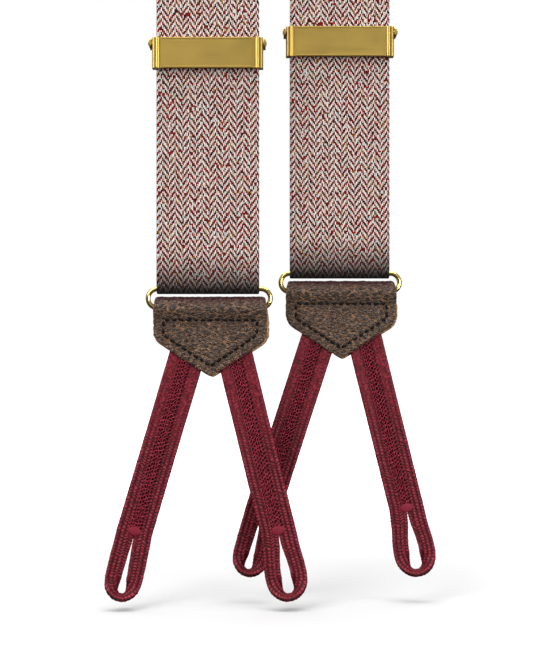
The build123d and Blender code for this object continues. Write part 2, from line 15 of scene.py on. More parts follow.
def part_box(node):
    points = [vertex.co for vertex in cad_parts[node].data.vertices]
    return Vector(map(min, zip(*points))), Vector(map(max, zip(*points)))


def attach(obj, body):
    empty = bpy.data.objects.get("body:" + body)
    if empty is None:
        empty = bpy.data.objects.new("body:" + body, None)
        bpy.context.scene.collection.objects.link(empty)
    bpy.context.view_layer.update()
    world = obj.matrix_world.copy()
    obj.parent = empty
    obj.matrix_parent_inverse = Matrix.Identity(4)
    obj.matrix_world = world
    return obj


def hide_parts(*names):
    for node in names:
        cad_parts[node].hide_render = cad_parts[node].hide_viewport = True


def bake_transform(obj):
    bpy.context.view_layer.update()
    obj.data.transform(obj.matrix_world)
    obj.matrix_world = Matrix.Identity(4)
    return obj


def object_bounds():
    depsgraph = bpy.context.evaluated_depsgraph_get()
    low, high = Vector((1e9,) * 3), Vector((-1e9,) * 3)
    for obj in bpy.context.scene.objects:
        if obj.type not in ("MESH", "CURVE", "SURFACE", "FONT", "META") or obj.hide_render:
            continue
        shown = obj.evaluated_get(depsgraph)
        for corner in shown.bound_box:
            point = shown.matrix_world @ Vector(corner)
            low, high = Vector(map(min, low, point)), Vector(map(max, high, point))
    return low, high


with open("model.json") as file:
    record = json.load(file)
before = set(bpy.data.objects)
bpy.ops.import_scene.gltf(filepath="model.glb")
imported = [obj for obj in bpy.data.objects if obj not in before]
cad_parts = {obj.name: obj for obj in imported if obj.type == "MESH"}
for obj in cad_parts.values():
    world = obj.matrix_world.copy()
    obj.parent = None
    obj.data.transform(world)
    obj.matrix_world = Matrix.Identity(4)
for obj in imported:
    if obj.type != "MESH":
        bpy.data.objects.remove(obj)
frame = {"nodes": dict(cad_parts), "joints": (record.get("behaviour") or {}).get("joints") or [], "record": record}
cad_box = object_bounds()

MM = 0.001
SEED = 7
STRIP_COLUMNS = 20
EDGE_POINTS = 5
JOINTS = {joint["name"]: joint for joint in frame["joints"]}


def box(node):
    """A CAD node's lowest and highest corners."""
    low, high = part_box(node)
    return np.array(low) / MM, np.array(high) / MM


def joint_place(name):
    """Where a hinge is, and its axis."""
    joint = JOINTS[name]
    return np.array(joint["pos_m"]) / MM, np.array(joint["axis"], float)


# Meshes


def add_mesh(name, points, faces, material, attributes=None):
    """A smooth mesh piece from points in millimetres, with its faces turned outwards."""
    points = np.asarray(points, float)
    first = np.array([face[:3] for face in faces])
    a, b, c = (points[first[:, k]] for k in range(3))
    if float((a * np.cross(b, c)).sum()) < 0:
        faces = [face[::-1] for face in faces]
    mesh = bpy.data.meshes.new(name)
    mesh.from_pydata((points * MM).tolist(), [], faces)
    for key, values in (attributes or {}).items():
        values = np.asarray(values, np.float32)
        kind = "FLOAT" if values.ndim == 1 else "FLOAT_VECTOR"
        field = mesh.attributes.new(key, kind, "POINT")
        field.data.foreach_set("value" if values.ndim == 1 else "vector", values.ravel())
    mesh.shade_smooth()
    mesh.materials.append(material)
    piece = bpy.data.objects.new(name, mesh)
    bpy.context.scene.collection.objects.link(piece)
    return piece


def skin(rings):
    """Points and faces of a tube through rings of points, with its ends closed."""
    count, around = rings.shape[:2]
    row = np.arange(count - 1)[:, None] * around
    near = row + np.arange(around)[None, :]
    far = row + (np.arange(around)[None, :] + 1) % around
    quads = np.stack([near, far, far + around, near + around], -1).reshape(-1, 4).tolist()
    start = list(range(around))[::-1]
    end = [(count - 1) * around + k for k in range(around)]
    return rings.reshape(-1, 3), [*quads, start, end]


def join(parts):
    """Several (points, faces) pairs as one."""
    points, faces, base = [], [], 0
    for some_points, some_faces in parts:
        points.append(some_points)
        faces += [[base + k for k in face] for face in some_faces]
        base += len(some_points)
    return np.concatenate(points), faces


def unit(vectors):
    """Vectors made one long."""
    return vectors / np.maximum(np.linalg.norm(vectors, axis=-1, keepdims=True), 1e-9)


def smooth_step(x):
    """From 0 at 0 to 1 at 1, level at both ends."""
    x = np.clip(x, 0, 1)
    return x * x * (3 - 2 * x)


def path_lengths(points):
    """The distance along a path at each of its points."""
    steps = np.linalg.norm(np.diff(points, axis=0), axis=1)
    return np.concatenate([[0], np.cumsum(steps)])


def resample(points, count):
    """Evenly spaced points along a path."""
    points = np.asarray(points, float)
    along = path_lengths(points)
    spots = np.linspace(0, along[-1], count)
    return np.stack([np.interp(spots, along, points[:, k]) for k in range(points.shape[1])], -1)


def flat_section(half_width, half_thick):
    """A strip's section as (across, out) points: flat faces and round edges."""
    inner = half_width - half_thick
    across = np.linspace(-inner, inner, STRIP_COLUMNS)
    turn = np.linspace(math.pi / 2, -math.pi / 2, EDGE_POINTS + 2)[1:-1]
    right = np.stack([inner + half_thick * np.cos(turn), half_thick * np.sin(turn)], -1)
    top = np.stack([across, np.full(STRIP_COLUMNS, half_thick)], -1)
    return np.concatenate([top, right, -top, -right])


def tube(points, radius, sides, flat=1.0):
    """A thread through points, round or flattened towards the Y axis."""
    points = np.asarray(points, float)
    ways = unit(np.gradient(points, axis=0))
    across = unit(np.cross(ways, np.array([0.0, 1.0, 0.0])))
    out = np.cross(across, ways) * flat
    turn = np.linspace(0, 2 * math.pi, sides, endpoint=False)
    ring = np.cos(turn)[None, :, None] * across[:, None] + np.sin(turn)[None, :, None] * out[:, None]
    return skin(points[:, None] + radius * ring)


# Materials


class Graph:
    """A material's nodes, built a call at a time."""

    def __init__(self, name, **settings):
        self.material = bpy.data.materials.new(name)
        self.material.use_nodes = True
        self.tree = self.material.node_tree
        self.shader = self.tree.nodes["Principled BSDF"]
        for key, value in settings.items():
            self.shader.inputs[key.replace("_", " ")].default_value = value

    def feed(self, socket, value):
        """A socket's value, or the node output that gives it."""
        if isinstance(value, bpy.types.NodeSocket):
            self.tree.links.new(value, socket)
        else:
            socket.default_value = value

    def node(self, kind, inputs=(), **settings):
        made = self.tree.nodes.new("ShaderNode" + kind)
        for key, value in settings.items():
            setattr(made, key, value)
        for key, value in dict(inputs).items():
            self.feed(made.inputs[key], value)
        return made

    def math(self, operation, *values, clamp=False):
        made = self.node("Math", enumerate(values), operation=operation, use_clamp=clamp)
        return made.outputs[0]

    def mix(self, share, a, b, blend="MIX"):
        made = self.node("Mix", data_type="RGBA", blend_type=blend)
        self.feed(made.inputs[0], share)
        for socket, value in ((made.inputs[6], a), (made.inputs[7], b)):
            self.feed(socket, (*value, 1) if isinstance(value, tuple) and len(value) == 3 else value)
        return made.outputs[2]

    def ramp(self, value, stops, constant=False):
        made = self.node("ValToRGB", {"Fac": value})
        ramp = made.color_ramp
        ramp.interpolation = "CONSTANT" if constant else "LINEAR"
        for n, (spot, colour) in enumerate(stops):
            element = ramp.elements[n] if n < 2 else ramp.elements.new(spot)
            element.position = spot
            element.color = (*colour, 1)
        return made.outputs["Color"]

    def span(self, value, low, high, to_low=0.0, to_high=1.0):
        """A value moved smoothly from one range to another, and kept within it."""
        inputs = {"Value": value, "From Min": low, "From Max": high, "To Min": to_low, "To Max": to_high}
        return self.node("MapRange", inputs, interpolation_type="SMOOTHSTEP").outputs["Result"]

    def field(self, name):
        """A number or vector kept on the mesh's points."""
        return self.node("Attribute", attribute_name=name)

    def noise(self, vector, scale, detail=3.0, roughness=0.5):
        inputs = {"Vector": vector, "Scale": scale, "Detail": detail, "Roughness": roughness}
        return self.node("TexNoise", inputs).outputs["Fac"]

    def bump(self, height, distance, strength=1.0):
        made = self.node("Bump", {"Height": height, "Distance": distance, "Strength": strength})
        self.feed(self.shader.inputs["Normal"], made.outputs["Normal"])

    def colour(self, value):
        self.feed(self.shader.inputs["Base Color"], value)

    def rough(self, value):
        self.feed(self.shader.inputs["Roughness"], value)


def linear(*colour):
    """A colour given as it looks on a screen, from 0 to 255, in linear light."""
    return tuple(c / 255 / 12.92 if c < 11 else ((c / 255 + 0.055) / 1.055) ** 2.4 for c in colour)


# The cloth's threads are in millimetres, and the twill goes over two and under two.
WARP_PITCH = 0.5
WEFT_PITCH = 0.66
COLUMN_WARPS = 5
TWILL = 4


def herringbone():
    """Off-white warps and burgundy wefts in a twill that breaks and turns back every five warps.

    The "cloth" field says how far across and along the cloth a point is, and "shade" how far painted shade darkens
    it near the fold.
    Painted shade also darkens the gaps between threads and the weft seen beside a warp.
    """
    g = Graph("herringbone_cloth", Roughness=0.85, Specular_IOR_Level=0.25)
    cloth = g.field("cloth").outputs["Vector"]
    where = g.node("SeparateXYZ", {0: cloth}).outputs
    wander, shiver = g.noise(cloth, 0.35, 2.0), g.noise(cloth, 2.2, 2.0)
    sway = g.math("ADD", g.math("MULTIPLY", wander, 0.6), g.math("MULTIPLY", shiver, 0.9))
    across = g.math("ADD", g.math("DIVIDE", where["X"], WARP_PITCH), sway)
    along = g.math("ADD", g.math("DIVIDE", where["Y"], WEFT_PITCH), g.math("MULTIPLY", sway, 1.3))
    warp, weft = g.math("FLOOR", across), g.math("FLOOR", along)
    column = g.math("FLOOR", g.math("DIVIDE", warp, COLUMN_WARPS))
    odd = g.math("FLOORED_MODULO", column, 2.0)
    way = g.math("SUBTRACT", 1.0, g.math("MULTIPLY", odd, 2.0))
    step = g.math("MULTIPLY", g.math("SUBTRACT", warp, g.math("MULTIPLY", column, COLUMN_WARPS)), way)
    broken = g.math("MULTIPLY", odd, TWILL / 2)
    phase = g.math("FLOORED_MODULO", g.math("ADD", g.math("ADD", step, weft), broken), TWILL)
    regular = g.math("LESS_THAN", phase, 1.5)

    def round_thread(place):
        centred = g.math("SUBTRACT", g.math("MULTIPLY", g.math("FRACT", place), 2.0), 1.0)
        return g.math("SUBTRACT", 1.0, g.math("POWER", g.math("ABSOLUTE", centred), 2.5))

    warp_height, weft_height = round_thread(across), round_thread(along)
    cell = g.node("CombineXYZ", {0: warp, 1: weft}).outputs[0]
    chance = g.node("TexWhiteNoise", {"Vector": cell}, noise_dimensions="2D").outputs["Value"]
    slub = g.node("TexWhiteNoise", {"Vector": cell, "W": 3.0}, noise_dimensions="4D").outputs["Value"]
    weft_on_top = g.math("ABSOLUTE", g.math("SUBTRACT", regular, g.math("GREATER_THAN", slub, 0.96)))
    pale = g.ramp(chance, [(0.0, linear(240, 233, 222)), (1.0, linear(255, 254, 250))])
    dark_stops = [
        (0.0, linear(122, 0, 3)), (0.36, linear(84, 0, 0)), (0.58, linear(150, 3, 8)),
        (0.74, linear(126, 60, 14)), (0.84, linear(14, 2, 0)), (0.92, linear(168, 116, 48)),
    ]
    dark = g.ramp(chance, dark_stops, constant=True)
    height = g.node("Mix", {0: weft_on_top, 2: warp_height, 3: weft_height}).outputs[0]
    # The weft seen beside a warp's edge is painted shade: the dark colour made darker still.
    shaded_weft_beside = g.mix(1.0, dark, (0.38, 0.36, 0.36), "MULTIPLY")
    thread = g.mix(weft_on_top, g.mix(g.span(warp_height, 0.56, 0.72), shaded_weft_beside, pale), dark)
    # Painted shade in the gaps between threads, where the thread's height is low.
    thread_gap_shade = g.span(height, 0.0, 0.4, 0.25, 1.0)
    shaded = g.mix(1.0, thread, g.node("CombineColor", {0: thread_gap_shade, 1: thread_gap_shade, 2: thread_gap_shade}).outputs[0], "MULTIPLY")
    # Painted shade darkens the cloth towards the fold, from the "shade" field.
    g.colour(g.mix(g.field("shade").outputs["Fac"], shaded, (0.0, 0.0, 0.0)))
    g.bump(height, 0.0002, 0.8)
    return g.material


def burgundy(name, peak_highlight, body, valley_shade, grain_scale):
    """Braid or thread whose colour follows its "relief" field: painted shade where it is low and a painted
    highlight where it is high, with a fine grain.
    """
    g = Graph(name, Roughness=0.6, Specular_IOR_Level=0.3)
    relief = g.field("relief").outputs["Fac"]
    coordinates = g.node("TexCoord").outputs["Object"]
    fibre = g.noise(coordinates, grain_scale, 3.0)
    lift = g.math("ADD", relief, g.math("MULTIPLY", g.math("SUBTRACT", fibre, 0.5), 0.35), clamp=True)
    # Painted shade in the valleys and a painted highlight on the peaks.
    g.colour(g.ramp(lift, [(0.0, valley_shade), (1.0, peak_highlight), (0.18, valley_shade), (0.55, body)]))
    g.bump(fibre, 0.00012, 0.6)
    return g.material


def leather(name):
    """Dark brown hide with slanting tan creases and raw tan edges, with painted maroon shade on the top of the
    roll and painted shade in the seams' furrows.

    The "hide" field is where a point is on the flat hide. A second vector field says how far a point is a raw
    edge, in X, under the painted maroon shade on the top of the roll, in Y, and in the furrow of a seam, in Z.
    """
    g = Graph(name, Roughness=0.5, Specular_IOR_Level=0.45)
    hide = g.field("hide").outputs["Vector"]
    warp = g.node("TexNoise", {"Vector": hide, "Scale": 0.35, "Detail": 3.0}).outputs["Color"]
    pull = g.node("VectorMath", {0: warp, 1: (0.5, 0.5, 0.5)}, operation="SUBTRACT").outputs[0]
    moved = g.node("VectorMath", {0: pull, 1: (2.6, 2.6, 0.0), 2: hide}, operation="MULTIPLY_ADD").outputs[0]

    def creases(turn, stretch, scale):
        how = {"Vector": moved, "Rotation": (0, 0, math.radians(turn)), "Scale": (*stretch, 1)}
        turned = g.node("Mapping", how)
        cells = g.node(
            "TexVoronoi", {"Vector": turned.outputs[0], "Scale": scale, "Randomness": 1.0},
            feature="DISTANCE_TO_EDGE", voronoi_dimensions="2D",
        )
        return cells.outputs["Distance"]

    long_crease = creases(-38, (0.34, 1.0), 0.72)
    pebble = creases(-30, (0.7, 1.0), 0.85)
    patches = g.span(g.noise(hide, 0.12, 2.0), 0.38, 0.62)
    strong, faint = g.span(patches, 0.0, 1.0, 0.5, 1.0), g.span(patches, 0.0, 1.0, 0.45, 0.1)
    vein = g.math("MULTIPLY", g.span(long_crease, 0.03, 0.20, 1.0, 0.0), strong)
    fine_vein = g.math("MULTIPLY", g.span(pebble, 0.01, 0.10, 1.0, 0.0), faint)
    mottle = g.noise(hide, 0.9, 2.5, 0.5)
    browns = [(0.34, linear(28, 23, 22)), (0.66, linear(108, 92, 82)), (0.5, linear(64, 53, 48))]
    ground = g.ramp(mottle, browns)
    veined = g.mix(g.math("MAXIMUM", vein, fine_vein), ground, linear(136, 99, 70))
    fields = g.node("SeparateXYZ", {0: g.field("wear").outputs["Vector"]}).outputs
    # Painted maroon shade on the top of the roll.
    roll_shade = g.mix(fields["Y"], veined, linear(54, 6, 12))
    edge_tone = g.mix(g.noise(hide, 2.5, 3.0), linear(178, 128, 82), linear(226, 184, 138))
    # Painted shade in the seams' furrows.
    furrow_shaded = g.mix(g.math("MULTIPLY", fields["Z"], 0.2), roll_shade, linear(30, 25, 23))
    g.colour(g.mix(fields["X"], furrow_shaded, edge_tone))
    between = g.math("MULTIPLY", g.span(long_crease, 0.0, 0.2), 0.8)
    raised = g.math("ADD", g.span(pebble, 0.0, 0.22), between)
    g.bump(g.math("ADD", raised, g.math("MULTIPLY", mottle, 0.9)), 0.0003, 1.0)
    g.rough(g.span(mottle, 0.35, 0.65, 0.5, 0.3))
    return g.material


def plain_hide(name, tone, grain_scale):
    """Hide without creases, for a strip that hardly shows: a pebbled grain in paler and darker patches."""
    g = Graph(name, Specular_IOR_Level=0.4)
    coordinates = g.node("TexCoord").outputs["Object"]
    cells = g.node("TexVoronoi", {"Vector": coordinates, "Scale": grain_scale}, feature="DISTANCE_TO_EDGE")
    pebble = g.span(cells.outputs["Distance"], 0.0, 0.25)
    patches = g.noise(coordinates, grain_scale / 8, 3.0)
    worn = g.mix(patches, tuple(c * 0.7 for c in tone), tuple(min(1, c * 1.5) for c in tone))
    g.colour(g.mix(pebble, tuple(c * 0.4 for c in tone), worn))
    g.rough(g.span(patches, 0.3, 0.7, 0.6, 0.4))
    g.bump(pebble, 0.00015, 0.8)
    return g.material


def brass(name, tone, roughness, grain):
    """Brass with a soft grain across it and slightly uneven polish."""
    g = Graph(name, Metallic=1.0)
    coordinates = g.node("TexCoord").outputs["Object"]
    brushed = g.node("Mapping", {"Vector": coordinates, "Scale": (60.0, 900.0, 900.0)}).outputs[0]
    lines = g.noise(brushed, 1.0, 4.0)
    cloud = g.noise(coordinates, 90.0, 3.0)
    g.colour(g.mix(cloud, tuple(c * 0.9 for c in tone), tuple(min(1, c * 1.08) for c in tone)))
    g.rough(g.span(g.math("ADD", lines, cloud), 0.6, 1.4, roughness * 0.93, roughness * 1.07))
    g.bump(lines, 0.00002, grain)
    return g.material


def thread_material(name, pale, dark):
    """Twisted sewing thread."""
    g = Graph(name, Roughness=0.6, Specular_IOR_Level=0.2)
    coordinates = g.node("TexCoord").outputs["Object"]
    twist = g.noise(coordinates, 1800.0, 2.0)
    g.colour(g.mix(g.span(twist, 0.35, 0.65), dark, pale))
    g.bump(twist, 0.0001, 0.6)
    return g.material


def ribbed_elastic():
    """Burgundy elastic with fine ribs along it, with painted shade in the grooves between ribs and a painted
    highlight on their tops.
    """
    g = Graph("ribbed_elastic", Roughness=0.75, Sheen_Weight=0.2)
    where = g.node("SeparateXYZ", {0: g.field("cloth").outputs["Vector"]}).outputs
    rib = g.math("ABSOLUTE", g.math("SINE", g.math("MULTIPLY", where["X"], math.pi / 1.1)))
    pick = g.math("ABSOLUTE", g.math("SINE", g.math("MULTIPLY", where["Y"], math.pi / 0.7)))
    height = g.math("ADD", g.math("MULTIPLY", rib, 0.7), g.math("MULTIPLY", pick, 0.3))
    # Painted shade in the grooves and a painted highlight on the ribs' tops.
    rib_shade_tones = [(0.1, linear(34, 5, 12)), (0.95, linear(128, 34, 52)), (0.6, linear(98, 20, 38))]
    g.colour(g.ramp(height, rib_shade_tones))
    g.bump(height, 0.00025, 0.8)
    return g.material


CLOTH = herringbone()
# Each is given a painted highlight colour, a body colour and a painted shade colour.
BRAID = burgundy("burgundy_braid", linear(168, 50, 70), linear(113, 10, 28), linear(6, 0, 1), 2600.0)
BRAID_THREAD = burgundy(
    "burgundy_thread", linear(174, 52, 74), linear(118, 12, 34), linear(8, 0, 2), 3200.0,
)
HIDE = leather("brown_hide")
LINING = plain_hide("maroon_lining", linear(70, 16, 24), 1600.0)
ADJUSTER_BRASS = brass("satin_brass", (0.645, 0.445, 0.112), 0.34, 0.25)
RING_BRASS = brass("polished_brass", (0.98, 0.76, 0.22), 0.15, 0.05)
BLACK_THREAD = thread_material("black_thread", linear(16, 13, 12), linear(3, 3, 3))
BURGUNDY_SEAM = thread_material("burgundy_seam", linear(130, 30, 46), linear(60, 8, 18))
ELASTIC = ribbed_elastic()


# Straps. Each is one strip, from inside the yoke, over the rail, down round the ring and up behind itself.

STRAP_HALF = (box("left_strap_fold")[1][0] - box("left_strap_fold")[0][0]) / 2
STRAP_THICK = 0.9
RAIL_MIDDLE = frame["record"]["mounts"][0]["dims"]["r_mm"] + STRAP_THICK / 2
FOLD_MIDDLE = 1.5  # the radius of the fold round the ring's bar, to the middle of the cloth
WRAP_RADIUS = 0.95  # the same for the turn over the adjuster's tail bar
ROW_STEP = 2.0
YOKE_END_X = 10.7
YOKE_END_Z = -128.0
SPREAD_HEIGHT = 116.0  # from the yoke end up to where a strap is over its own side of the rail
BACK_DEPTHS = {"left": 15.45, "right": 16.55}  # the right strap lies over the left one in the yoke
BACK_SETTLE = (-15.0, 45.0)  # below this level a strap leaves the rail's line, over this height
FRONT_SETTLE = (-20.0, 220.0)
# How dark the painted shade gets where the strap turns under the ring, and over what height above the bar.
FOLD_SHADE = 0.95
FOLD_SHADE_HEIGHT = 14.0


class Front:
    """Where one front's pieces are, read from its joints and CAD boxes."""

    def __init__(self, name):
        self.name = name
        (self.x, self.plane, self.upper_bar), _ = joint_place(f"{name}_ring_hinge")
        self.lower_bar = joint_place(f"{name}_end_hinge")[0][2]
        low, high = box(f"{name}_leather_end")
        self.end_x = (low[0] + high[0]) / 2
        self.leather_top = high[2]
        self.fold_top = box(f"{name}_strap_fold")[1][2]
        self.run_top = box(f"{name}_strap_front_run")[1][2]
        self.wrap_low, self.wrap_high = (corner[2] for corner in box(f"{name}_strap_tail_wrap"))


def levels(start, end):
    """Heights from one level to another, a row apart."""
    return np.linspace(start, end, max(2, round(abs(end - start) / ROW_STEP) + 1))


def trace(x, y, z):
    """Points whose coordinates are numbers or rows of numbers."""
    return np.stack(np.broadcast_arrays(x, y, z), -1)


def settle(z, level_and_height):
    """A smooth step from 0 at a level to 1 at a height below it."""
    level, height = level_and_height
    return smooth_step((level - z) / height)


def strap_path(front):
    """Points along the middle of the strap, from the yoke over the rail to the fold and just up behind it."""
    end_x = math.copysign(YOKE_END_X, front.x)
    z = levels(YOKE_END_Z, 0.0)[:-1]
    x = end_x + (front.x - end_x) * np.clip((z - YOKE_END_Z) / SPREAD_HEIGHT, 0, 1)
    back = trace(x, RAIL_MIDDLE + (BACK_DEPTHS[front.name] - RAIL_MIDDLE) * settle(z, BACK_SETTLE), z)
    turn = np.linspace(0, math.pi, 33)
    arch = trace(front.x, RAIL_MIDDLE * np.cos(turn), RAIL_MIDDLE * np.sin(turn))
    z = levels(0.0, front.upper_bar)[1:]
    depth = front.plane - FOLD_MIDDLE
    hang = trace(front.x, -RAIL_MIDDLE + (depth + RAIL_MIDDLE) * settle(z, FRONT_SETTLE), z)
    turn = np.linspace(math.pi, 2 * math.pi, 13)[1:]
    y, z = front.plane + FOLD_MIDDLE * np.cos(turn), front.upper_bar + FOLD_MIDDLE * np.sin(turn)
    fold = trace(front.x, y, z)
    rise = trace(front.x, front.plane + FOLD_MIDDLE, levels(front.upper_bar, front.fold_top)[1:])
    return np.concatenate([back, arch, hang, fold, rise])


def tail_path(front):
    """Points along the strap's end, from the top of the fold up and over the adjuster's tail bar."""
    back = front.plane + FOLD_MIDDLE
    centre = front.wrap_high - WRAP_RADIUS - STRAP_THICK / 2
    behind = trace(front.x, back, levels(front.fold_top, centre))
    turn = np.linspace(0, math.pi, 11)[1:]
    y, z = back - WRAP_RADIUS + WRAP_RADIUS * np.cos(turn), centre + WRAP_RADIUS * np.sin(turn)
    wrap = trace(front.x, y, z)
    flap = trace(front.x, back - 2 * WRAP_RADIUS, levels(centre, front.wrap_low)[1:])
    return np.concatenate([behind, wrap, flap])


def ribbon(name, path, half_width, half_thick, material, shade=0.0, start=0.0):
    """A strip swept along a path whose turns are all about X, and how far along its cloth each row is."""
    section = flat_section(half_width, half_thick)
    way = np.gradient(path, axis=0)
    way[:, 0] = 0
    way = unit(way)
    out = trace(0.0, way[:, 2], -way[:, 1])
    rings = path[:, None] + section[None, :, :1] * np.array([1.0, 0, 0]) + section[None, :, 1:] * out[:, None]
    points, faces = skin(rings)
    along = start + path_lengths(path)
    cloth = np.zeros((*rings.shape[:2], 3))
    cloth[..., 0] = section[:, 0] + half_width
    cloth[..., 1] = along[:, None]
    shades = np.repeat(np.broadcast_to(shade, len(path)), rings.shape[1])
    fields = {"cloth": cloth.reshape(-1, 3), "shade": shades}
    return add_mesh(name, points, faces, material, fields), along


def fold_shade(path, front):
    """How far painted shade darkens the cloth near the fold, where it turns under the ring, from 0 to 1."""
    return FOLD_SHADE * np.clip(1 - (path[:, 2] - front.upper_bar) / FOLD_SHADE_HEIGHT, 0, 1) ** 1.1


def build_straps(front):
    """The woven strap in two pieces: down to the ring, and back up to the adjuster."""
    name = front.name
    path = strap_path(front)
    main, along = ribbon(f"{name}_strap", path, STRAP_HALF, STRAP_THICK / 2, CLOTH, fold_shade(path, front))
    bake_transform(main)
    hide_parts(f"{name}_strap_upper", f"{name}_strap_front_run", f"{name}_strap_fold")

    path, start = tail_path(front), float(along[-1])
    shade = fold_shade(path, front)
    tail, along = ribbon(f"{name}_strap_tail", path, STRAP_HALF, STRAP_THICK / 2, CLOTH, shade, start)
    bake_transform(tail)
    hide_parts(f"{name}_strap_tail_run", f"{name}_strap_tail_wrap")


# Braided tabs. Their own frame has x across, y to the back and z up, with the leather tip's level at zero.

TAB_DROP = 83.0  # from the leather tip's level to the bottom of the loops
TAB_TOP = 12.0
HINGE_ABOVE_TIP = 2.5
LEG_WIDTH = 6.6
LEG_HALF_THICK = 0.72
LEG_SIDE_GAP = 0.02
LOOP_LENGTH = 26.5
LOOP_HALF_WIDTH = 7.65
LOOP_BELLY = 10.0
LOOP_SHOULDER = 7.0
LOOP_FULL = 13.0
BAND_THICK = 2.2
# A loop is its half width, half its slit's width, and how far below the tack the slit starts.
CLOSE_LOOP = (LOOP_HALF_WIDTH, 1.4, 12.5)
LOOPS = {"left_inner": (8.2, 2.0, 5.0), "right_outer": (8.3, 2.2, 4.0)}
LOOP_BEND = 3.5
LOOP_BEND_ABOVE = 4.0
LOOP_BEND_HEIGHT = 8.0

RING_STEP = 0.24
AROUND = 58
TAPE_SQUARENESS = 0.55
RIDGE_PITCH = 1.6
RIDGE_HEIGHT = 0.42
RIDGE_WOBBLE = 0.13
STITCH_PITCH = 1.15
STITCH_DRIFT = 0.5
STITCH_SLANT = 0.7
SPECK = 0.5

COVER_TOP = 8.0
COVER_BOTTOM = 1.2
COVER_STEP = 0.22
COVER_PITCH = 1.5
COVER_DEPTH = 1.16
COVER_HALF_WIDTH = 2.3
COVER_LANES = (-1.8, -0.9, 0.0, 0.9, 1.8)
COVER_SWING = 0.7
COVER_RISE = 0.16
COVER_THREAD = 0.2

TACK_HALF_WIDTH = 2.6
TACK_HALF_HEIGHT = 1.75
TACK_BULGE = 0.75
TACK_ROWS = 34
TACK_AROUND = 28


def tab_length(lean):
    """From the tip's level down to the bar tack."""
    drop = TAB_DROP - LOOP_LENGTH * math.cos(math.radians(abs(lean) - LOOP_BEND))
    return drop / math.cos(math.radians(lean))


def slit_edge(slit_half_width, opening):
    """The inner edge of a loop's left side below the tack: close to the other side, then round the slit."""
    bottom = BAND_THICK + slit_half_width - LOOP_LENGTH
    widest = slit_half_width - 0.03
    edge = [(-LEG_SIDE_GAP, 0)]
    for t in np.linspace(0, 1, 12)[:-1]:
        edge.append((-0.03 - widest * math.sin(math.pi / 2 * t) ** 1.5, -opening + (bottom + opening) * t))
    for t in np.linspace(0, math.pi / 2, 24):
        edge.append((-slit_half_width * math.cos(t), bottom - slit_half_width * math.sin(t)))
    return edge


def outer_edge(half_width):
    """The outer edge of a loop's left side below the tack."""
    belly = LOOP_BELLY - LOOP_LENGTH
    shoulder = (-LEG_WIDTH * 0.6 - half_width * 0.4, -LOOP_SHOULDER)
    edge = [(-LEG_WIDTH, 0), shoulder, (-half_width + 0.08, -LOOP_FULL)]
    for t in np.linspace(0, math.pi / 2, 24):
        edge.append((-half_width * math.cos(t), belly - LOOP_BELLY * math.sin(t)))
    return edge


def tape_edges(length, loop):
    """The inner and outer edges of the left leg, seen from the front, from its top to the loop's bottom."""
    half_width, slit_half_width, opening = loop
    rows = round(LOOP_LENGTH * 1.25 / RING_STEP)
    z = np.linspace(TAB_TOP, -length, round((TAB_TOP + length) / RING_STEP))[:-1]
    edges = []
    for below in (slit_edge(slit_half_width, opening), outer_edge(half_width)):
        below = resample(below, rows) - np.array([0.0, length])
        straight = np.stack([np.full(len(z), below[0][0]), z], -1)
        edges.append(np.concatenate([straight, below]))
    return edges


def tape_frames(length, loop):
    """Centre, width direction and face direction of the tape, down one leg, round the loop and up the other.

    Where the edges come closer than the tape is wide, the tape has turned on its edge.
    """
    inner, outer = tape_edges(length, loop)
    centre = (inner + outer) / 2
    across = outer - inner
    seen = np.linalg.norm(across, axis=1)
    across = unit(across)
    thick = 2 * (LEG_HALF_THICK + RIDGE_HEIGHT * 0.7)
    turn = np.arccos(np.clip((seen - thick) / (LEG_WIDTH - thick), 0, 1))
    turn = np.convolve(np.pad(turn, 6, mode="edge"), np.ones(13) / 13, mode="valid")
    middle = trace(centre[:, 0], 0.0, centre[:, 1])
    wide = trace(np.cos(turn) * across[:, 0], -np.sin(turn), np.cos(turn) * across[:, 1])
    face = trace(-np.sin(turn) * across[:, 0], -np.cos(turn), -np.sin(turn) * across[:, 1])
    mirror = np.array([-1.0, 1.0, 1.0])
    return [np.concatenate([rows, (rows * mirror)[-2::-1]]) for rows in (middle, wide, face)]


def tape_outline():
    """Evenly spaced points round the tape's section, which is a flat box with round corners."""
    turn = np.linspace(0, 2 * math.pi, 400)
    cos, sin = np.cos(turn), np.sin(turn)
    outline = np.stack([
        (LEG_WIDTH / 2 - 0.1) * np.sign(cos) * np.abs(cos) ** TAPE_SQUARENESS,
        LEG_HALF_THICK * np.sign(sin) * np.abs(sin) ** TAPE_SQUARENESS,
    ], -1)
    return resample(outline, AROUND + 1)[:-1]


def scatter(seeds):
    """Numbers from 0 to 1 that look random."""
    values = np.sin(seeds) * 43758.5453
    return values - np.floor(values)


def stitch_relief(along, round_it, perimeter, length):
    """How high each point of the braid stands, from 0 to 1: slanted stitches in ridges that run along it."""
    ridges = 2 * round(perimeter / RIDGE_PITCH / 2)
    wobble = RIDGE_WOBBLE * np.sin(2 * math.pi * along / STITCH_PITCH)
    place = round_it[None, :] / perimeter * ridges + wobble[:, None]
    ridge = np.floor(place)
    off = place - ridge - 0.5
    slant = np.where(ridge % 2 == 0, STITCH_SLANT, -STITCH_SLANT)
    drift = np.array([STITCH_DRIFT * noise.noise(Vector((0.5 * float(a), length, 0.0))) for a in along])
    stitch = along[:, None] / STITCH_PITCH + drift[:, None] + slant * off + 0.5 * (ridge % 2) + 0.13 * ridge
    beat = np.abs(2 * (stitch - np.floor(stitch)) - 1)
    crown = np.clip(1 - (2 * np.abs(off)) ** 2.6, 0, 1) ** 0.8
    relief = crown * np.clip(1 - beat ** 2.8, 0, 1)
    return relief * (0.72 + 0.28 * scatter(np.floor(stitch) * 12.9898 + ridge * 78.233))


